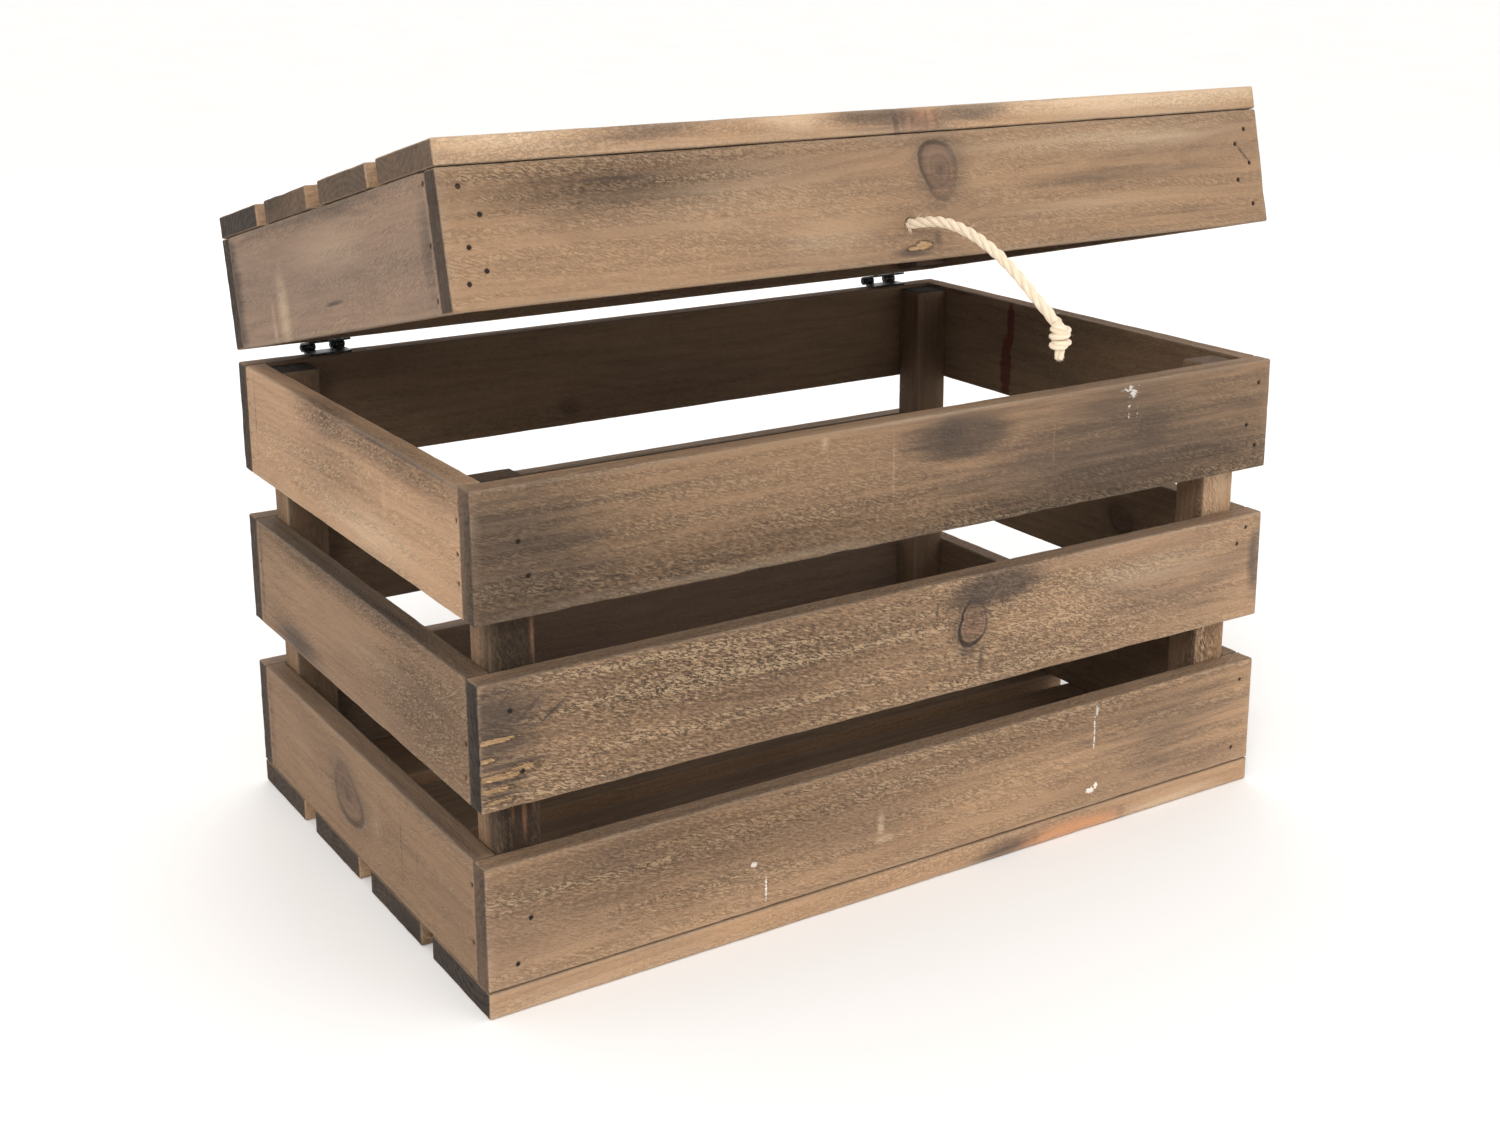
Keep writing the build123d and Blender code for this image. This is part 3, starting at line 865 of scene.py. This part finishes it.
def store(mesh, name, columns):
    """Keeps three numbers per point for a mesh's material. A single number goes to all points."""
    values = np.empty((len(mesh.vertices), 3), np.float32)
    for column, numbers in enumerate(columns):
        values[:, column] = numbers
    layer = mesh.attributes.new(name, "FLOAT_VECTOR", "POINT")
    layer.data.foreach_set("vector", values.ravel())


def level_corners(name, body):
    """A CAD node's lowest and highest corners, with the lid turned back to level."""
    points = [vertex.co[:] for vertex in frame["nodes"][name].data.vertices]
    level = moved(points, poses[body].inverted())
    return level.min(axis=0), level.max(axis=0)


def drill(points, quads, hole, radius, thickness):
    """Opens a round hole through the thickness. The two broad faces have matching points."""
    reach = np.hypot(*(points[:, :2] - hole[:2]).T)
    inside = (reach[quads] < radius * hole_margin).all(axis=1)
    sides = {pair for quad in quads[inside].tolist() for pair in zip(quad, quad[1:] + quad[:1])}
    rim = sorted(pair for pair in sides if pair[::-1] not in sides)
    partner = {tuple(points[number].round(7)): number for number in np.unique(quads[inside])}
    wall = []
    for pair in rim:
        if points[pair[0]][2] < thickness / 2:
            over = [partner[(*points[number][:2].round(7), round(thickness, 7))] for number in pair]
            wall.append((*pair, over[1], over[0]))
    ends = np.unique(rim)
    points[ends, :2] = hole[:2] + radius * unit(points[ends, :2] - hole[:2])
    faces = np.concatenate([quads[~inside], wall])
    used = np.unique(faces)
    return np.searchsorted(used, faces), used


def timber(name, body, seed, material):
    """A board, slat, post or block with worn edges, in place of its CAD solid."""
    board = Board(name, body, seed)
    sides = zip(board.size, mesh_spacings, board.feature_lines())
    points, quads = box_lattice([mesh_lines(*side) for side in sides])
    local, outward = rounded(points, board.size)
    if board.hole is not None:
        quads, used = drill(local, quads, board.hole, rope_hole_radius, board.size[2])
        local, outward = local[used], outward[used]
    rough = 0.16 + board.mark(local, "rough")
    shaped = local - outward * board.relief(local, outward, rough)[:, None]
    level = np.empty_like(shaped)
    level[:, board.order] = shaped
    if np.linalg.det(np.eye(3)[board.order]) < 0:
        quads = quads[:, ::-1]
    where = moved(level + board.low, poses[body])
    piece = joined(name + "_timber", where, quads.tolist(), body, material)
    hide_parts(name)
    board.paint(piece.data, local, outward, rough)


# ---- Nails ----


def separate_solids(name, body):
    """The points of each separate solid in a CAD node, with the lid turned back to level."""
    work = bmesh.new()
    work.from_mesh(frame["nodes"][name].data)
    bmesh.ops.remove_doubles(work, verts=work.verts, dist=same_place)
    unseen = set(work.verts)
    solids = []
    while unseen:
        waiting = [unseen.pop()]
        members = []
        while waiting:
            vertex = waiting.pop()
            members.append(vertex.co[:])
            joined_to = {edge.other_vert(vertex) for edge in vertex.link_edges} & unseen
            unseen -= joined_to
            waiting += joined_to
        solids.append(moved(members, poses[body].inverted()))
    work.free()
    return sorted(solids, key=lambda solid: tuple(np.round(solid.mean(axis=0), 5)))


def nail_places(name, body):
    """The middle of each nail's head, the direction it faces and the nail's length."""
    places = []
    for solid in separate_solids(name, body):
        low, high = solid.min(axis=0), solid.max(axis=0)
        axis = int(np.argmax(high - low))
        ends = [solid[np.abs(solid[:, axis] - limit) < same_place] for limit in (low[axis], high[axis])]
        at_high = np.ptp(ends[1], axis=0).sum() > np.ptp(ends[0], axis=0).sum()
        head = (low + high) / 2
        head[axis] = high[axis] if at_high else low[axis]
        facing = np.eye(3)[axis] * (1 if at_high else -1)
        places.append((head, facing, high[axis] - low[axis]))
    return places


# A nail head's outline, in millimetres: radius and height above the middle of its top. The part
# above the domed height leans with the head.
nail_profile_mm = ((0.55, -0.02), (0.95, -0.1), (1.17, -0.3), (1.2, -0.6), (1.05, -0.8), (0.7, -1))
domed_height = -0.5 * mm


def make_nails(name, body, seed, material):
    """Slightly domed and leaning nail heads on their shanks, each sunk a little in the timber."""
    draw = np.random.default_rng(seed)
    points, faces = [], []
    corners = circle(nail_sides)
    for head, facing, nail_length in nail_places(name, body):
        across = np.roll(facing, 1)
        profile = [(radius * mm, height * mm) for radius, height in nail_profile_mm]
        profile += [(nail_shank, nail_taper - nail_length), (nail_point, nail_sink - nail_length)]
        lean = corners @ draw.uniform(-nail_lean, nail_lean, 2)
        first = len(points) + 1
        points.append(head - facing * nail_sink)
        for radius, height in profile:
            lift = height - nail_sink + radius * lean * (height > domed_height)
            ring = corners @ (across, np.cross(facing, across)) * radius
            points.extend(head + ring + lift[:, None] * facing)
        for step in range(nail_sides):
            faces.append((first - 1, first + step, first + (step + 1) % nail_sides))
        faces += [quad[::-1] for quad in wall_quads(first, len(profile), nail_sides)]
        faces.append(tuple(range(len(points) - nail_sides, len(points))))
    piece = joined(name + "_steel", moved(points, poses[body]), faces, body, material)
    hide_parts(name)


# ---- Rope ----


def rope_line():
    """The rope's own smooth line, as points along its spline."""
    curve = bpy.data.curves.new("rope_route", "CURVE")
    curve.dimensions = "3D"
    curve.resolution_u = 16
    spline = curve.splines.new("NURBS")
    spline.points.add(len(rope_points) - 1)
    for control, place in zip(spline.points, rope_points):
        control.co = (*place, 1)
    spline.order_u = 3
    spline.use_endpoint_u = True
    route = bpy.data.objects.new("rope_route", curve)
    mesh = bpy.data.meshes.new_from_object(route)
    line = np.array([vertex.co[:] for vertex in mesh.vertices])
    bpy.data.meshes.remove(mesh)
    bpy.data.objects.remove(route)
    bpy.data.curves.remove(curve)
    return line


def even_points(line, spacing):
    """A line redrawn with evenly spaced points, and the distance along it."""
    travelled = distance_along(line)
    wanted = np.linspace(0, travelled[-1], round(travelled[-1] / spacing) + 1)
    return np.stack([np.interp(wanted, travelled, line[:, axis]) for axis in range(3)], axis=1), wanted


def line_frames(line):
    """Two directions across the line at each point, which turn with it and don't twist."""
    ahead = unit(np.gradient(line, axis=0))
    helper = np.eye(3)[0 if abs(ahead[0][0]) < 0.8 else 1]
    sides, ups = [], []
    for direction in ahead:
        helper = unit(helper - direction * (helper @ direction))
        sides.append(helper)
        ups.append(np.cross(direction, helper))
    return np.array(sides), np.array(ups)


def wall_quads(start, rings, sides):
    """The quads between rings of points that follow one another."""
    quads = []
    for ring in range(start, start + (rings - 1) * sides, sides):
        for step in range(sides):
            first, following = ring + step, ring + (step + 1) % sides
            quads.append((first, following, following + sides, first + sides))
    return quads


class Tubes:
    """Round tubes gathered into one mesh, with coordinates along and round each strand."""

    def __init__(self):
        self.points, self.faces, self.strands = [], [], []

    def add(self, line, radii, sides, seed):
        """A closed tube along a line, whose radius changes from point to point."""
        start = len(self.points)
        for place, across, above, radius, run in zip(line, *line_frames(line), radii, distance_along(line)):
            ring = circle(sides) * radius
            self.points.extend(place + ring @ (across, above))
            self.strands.extend((run + seed * 0.37, *corner) for corner in ring)
        self.faces += wall_quads(start, len(line), sides)
        last = len(self.points) - sides
        self.faces += [tuple(range(start, start + sides))[::-1], tuple(range(last, last + sides))]

    def finish(self, name, material):
        """The gathered tubes as one piece on the lid."""
        piece = joined(name, self.points, self.faces, "lid", material)
        store(piece.data, "strand", np.transpose(self.strands))
        return piece


def add_strands(tubes, line, thickness=1.0, seed=0, turn=0.0):
    """Three strands laid round a line."""
    spaced, travelled = even_points(line, strand_spacing)
    side, up = line_frames(spaced)
    for strand in range(strand_count):
        angle = 2 * pi * (travelled / strand_lay + strand / strand_count) + turn
        along = travelled * swells_per_m + strand * 9.1
        uneven = 1 + strand_swell * smooth_noise(np.stack([along] * 3, axis=1), seed)
        reach = strand_offset * thickness
        offset = side * np.cos(angle)[:, None] + up * np.sin(angle)[:, None]
        tubes.add(spaced + offset * reach, strand_radius * thickness * uneven, 12, seed + strand)


def fibre(tubes, place, direction, length, curl, radius, seed):
    """One loose fibre that curls away from the rope."""
    direction = unit(direction)
    bend = np.random.default_rng(seed).normal(size=3)
    bend = unit(bend - direction * (bend @ direction))
    share = np.linspace(0, 1, 6)[:, None]
    line = place + direction * share * length + bend * curl * share**2 * length
    tubes.add(line, radius * (1.05 - share[:, 0]), 5, seed)


def knot_line(entry, tip, turns, swell):
    """A cord that winds round the middle stretch from entry to tip."""
    whole = np.array(tip) - entry
    side = unit(np.cross(whole, (1, 0, 0)))
    up = np.cross(unit(whole), side)
    share = np.linspace(0, 1, 60)
    angle = 2 * pi * turns * share
    radius = coil_radius * (1 + swell * np.sin(pi * share))
    line = entry + whole * (0.5 - 0.36 * np.cos(pi * share))[:, None]
    line += (side * np.cos(angle)[:, None] + up * np.sin(angle)[:, None]) * radius[:, None]
    return line


def make_rope(material):
    """The twisted pull, whose strands follow the route's spline."""
    line = rope_line()
    tubes = Tubes()
    add_strands(tubes, line)
    piece = tubes.finish("pull_rope_strands", material)
    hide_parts("pull_rope")
    return piece, line


def tuft(tubes, draw, count, middle, spread, aim, aim_spread, length, radius):
    """Fibres that stick out of one place on the rope, each with its own aim."""
    for _ in range(count):
        place = middle + draw.uniform(-1, 1, 3) * spread
        away = aim + draw.uniform(-1, 1, 3) * aim_spread
        fibre(tubes, place, away, length * draw.uniform(0.7, 1.3), 0.4, radius, draw.integers(1000))


def make_loose_fibres(material, line):
    """Fibres that stand off the rope, and a frayed tuft where it leaves the hole."""
    tubes = Tubes()
    draw = np.random.default_rng(41)
    spaced, _ = even_points(line, 6 * mm)
    for number, place in enumerate(spaced[3:-1]):
        away = unit(draw.normal(size=3) + (0, -0.3, 0.5))
        fibre(tubes, place + away * 2 * mm, away + (0, -0.6, 0.2), 4 * mm, 0.6, 0.09 * mm, number)
    below, above = rope_exit + np.array(((-2.2, -2.2, 0), (0, -6, 3))) * mm
    spread = np.array((1.3, 0.6, 0.6)) * mm
    tuft(tubes, draw, 14, below, spread, (-0.2, -0.2, -1), (0.3, 0.15, 0), 4.5 * mm, 0.16 * mm)
    tuft(tubes, draw, 5, above, spread, (-0.35, -0.3, 1), (0.55, 0, 0), 4 * mm, 0.1 * mm)
    return tubes.finish("pull_rope_fibres", material)


def make_end_knot(material, line):
    """An overhand knot at the free end, with its cut tail under it."""
    low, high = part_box("rope_end_knot")
    depth = (low[1] + high[1]) / 2
    top, middle, bottom = ((0, depth, high[2] - drop * mm) for drop in coil_drops_mm)
    tail = (0, depth, low[2] + 0.6 * mm)
    tubes = Tubes()
    core = [line[-1], (0, depth + 0.4 * mm, high[2] - 3.4 * mm), middle, bottom, tail]
    add_strands(tubes, np.array(core), knot_thickness, 20)
    add_strands(tubes, knot_line(top, bottom, 2.6, 0.1), knot_thickness, 30, 1.1)
    draw = np.random.default_rng(52)
    spread = np.array((1.5, 1.5, 0.3)) * mm
    tuft(tubes, draw, 16, tail, spread, (0, 0, -1), (0.2, 0.2, 0), 1 * mm, 0.13 * mm)
    for number, away in enumerate(((1, -0.2, 0.1), (0.8, 0.2, -0.5), (-0.9, 0.1, 0.3))):
        place = middle + np.array(away) * 3.4 * mm
        fibre(tubes, place, away, 3.2 * mm, 0.5, 0.13 * mm, 90 + number)
    piece = tubes.finish("rope_end_knot_strands", material)
    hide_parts("rope_end_knot")
    return piece


def make_inner_knot(material):
    """The knot that stops the rope behind the lid's front board."""
    low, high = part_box("rope_inner_knot")
    middle = (np.array(low) + np.array(high)) / 2
    inward = np.array((0, cos(lid_opening), -sin(lid_opening)))
    start, stop = middle - inward * 4 * mm, middle + inward * 4.1 * mm
    tubes = Tubes()
    add_strands(tubes, np.array([start, middle, stop]), knot_thickness, 50)
    add_strands(tubes, knot_line(start, stop, 2.2, 0.06), 0.8, 60, 0.6)
    piece = tubes.finish("rope_inner_knot_strands", material)
    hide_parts("rope_inner_knot")
    return piece


# ---- Everything together ----


def make_floor():
    """A pale floor, wide enough to fill every view."""
    work = bmesh.new()
    bmesh.ops.create_grid(work, x_segments=floor_steps, y_segments=floor_steps, size=floor_half)
    mesh = bpy.data.meshes.new("studio_floor")
    work.to_mesh(mesh)
    work.free()
    mesh.materials.append(floor_material())
    placed("studio_floor", mesh)


def dress(node, material):
    """Gives a CAD node that keeps its shape a better material."""
    node.data.materials.clear()
    node.data.materials.append(material)


make_camera()
rope_fibre = rope_material()
rope, rope_path = make_rope(rope_fibre)
loose_fibres = make_loose_fibres(rope_fibre, rope_path)
end_knot = make_end_knot(rope_fibre, rope_path)
inner_knot = make_inner_knot(rope_fibre)
make_lights()
make_floor()

board_wood = wood_material(
    "board_wood",
    early=(0.375, 0.238, 0.138, 1),
    late=(0.21, 0.12, 0.067, 1),
    grey=(0.205, 0.143, 0.098, 1),
    stain=(0.08, 0.059, 0.047, 1),
)
post_wood = wood_material(
    "post_wood",
    early=(0.3, 0.185, 0.105, 1),
    late=(0.13, 0.07, 0.036, 1),
    grey=(0.16, 0.105, 0.066, 1),
    stain=(0.022, 0.014, 0.009, 1),
)
nail_steel = metal_material("nail_steel", (0.035, 0.03, 0.028, 1), (0.09, 0.055, 0.04, 1), 0.6)
hinge_steel = metal_material("hinge_steel", (0.02, 0.02, 0.021, 1), (0.12, 0.11, 0.1, 1), 0.45)

crate_corners = [level_corners(name, "crate") for name in ("front_top_board", "back_bottom_board")]
crate_middle = np.mean(crate_corners, axis=(0, 1))
rope_hole_place = np.array(poses["lid"].inverted() @ Vector(rope_exit))
body_nodes = frame["record"]["behaviour"]["bodies"]
body_of = {name: body for body in body_nodes for name in body_nodes[body]}
nail_heads = {body: [] for body in body_nodes}
for name, body in sorted(body_of.items()):
    if name.endswith("_nails"):
        nail_heads[body] += [(head, facing) for head, facing, _ in nail_places(name, body)]

for seed, (name, body) in enumerate(sorted(body_of.items())):
    if name.endswith(("_board", "_slat")):
        timber(name, body, seed, board_wood)
    if name.endswith(("_post", "_block")):
        timber(name, body, seed, post_wood)
    if name.endswith("_nails"):
        make_nails(name, body, seed, nail_steel)
    if "_hinge_" in name:
        dress(frame["nodes"][name], hinge_steel)
